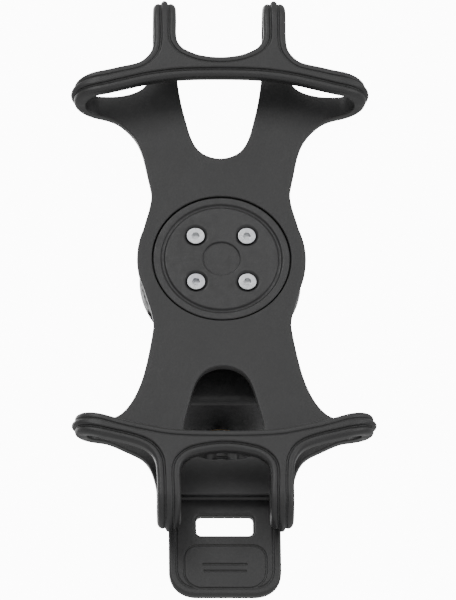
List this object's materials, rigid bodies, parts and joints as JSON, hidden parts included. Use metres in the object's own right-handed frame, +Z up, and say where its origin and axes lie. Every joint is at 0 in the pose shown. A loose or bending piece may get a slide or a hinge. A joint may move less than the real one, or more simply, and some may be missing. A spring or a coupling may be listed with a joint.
{
  "type": "phone handlebar mount",
  "caption": "Stretched silicone phone harness with corner bands, leg straps and a slotted pull tab, on a full-turn swivel and a screw clamp for a round handlebar.",
  "frame": {"origin": "the handlebar's axis, level with the swivel's centre and in the middle of the clamp's width", "axes": "+X along the handlebar, +Z up the phone, -Y out of the screen towards the rider"},
  "size_m": [0.0738, 0.0526, 0.1598],
  "materials": {
    "silicone": "matt moulded silicone",
    "nylon": "fine-textured glass-filled nylon",
    "knob_plastic": "satin plastic",
    "liner_rubber": "matt ribbed rubber",
    "steel": "zinc plated",
    "spring_steel": "bare rolled",
    "brass": "turned"
  },
  "bodies": {
    "bar_clamp": {"clamp_frame": "nylon", "seat_liner": "liner_rubber", "threaded_insert": "brass", "socket_ring": "nylon", "ring_screw_1": "steel", "ring_screw_2": "steel", "ring_screw_3": "steel", "ring_screw_4": "steel", "wave_washer": "spring_steel"},
    "harness": {"swivel_adapter": "nylon", "swivel_flange": "nylon", "retainer_plate": "nylon", "retainer_screw_1": "steel", "retainer_screw_2": "steel", "retainer_screw_3": "steel", "retainer_screw_4": "steel", "harness_hub": "silicone", "harness_upper": "silicone", "harness_lower": "silicone"},
    "pull_tab": {"pull_tab": "silicone"},
    "pressure_pad": {"pressure_plate": "nylon", "plate_liner": "liner_rubber"},
    "clamp_screw": {"clamp_screw": "steel", "clamp_knob": "knob_plastic", "knob_cap": "knob_plastic"}
  },
  "joints": [
    {"name": "harness_swivel", "type": "hinge", "parent": "bar_clamp", "child": "harness", "pos_m": [0, -0.029, 0], "axis": [0, 1, 0], "continuous": true},
    {"name": "tab_flex", "type": "hinge", "parent": "harness", "child": "pull_tab", "pos_m": [0, -0.0228, -0.06495], "axis": [1, 0, 0], "range_deg": [0, 60], "stiffness_Nm_per_rad": 0.012},
    {"name": "pad_travel", "type": "slide", "parent": "bar_clamp", "child": "pressure_pad", "axis": [0, 0, 1], "range_m": [-0.0052, 0.0034]},
    {"name": "screw_turn", "type": "hinge", "parent": "pressure_pad", "child": "clamp_screw", "pos_m": [0, 0, -0.0196], "axis": [0, 0, 1], "range_deg": [-1873, 1225]}
  ],
  "couplings": [
    {"joint": "screw_turn", "follows": "pad_travel", "rad_per_m": 6283.2}
  ]
}
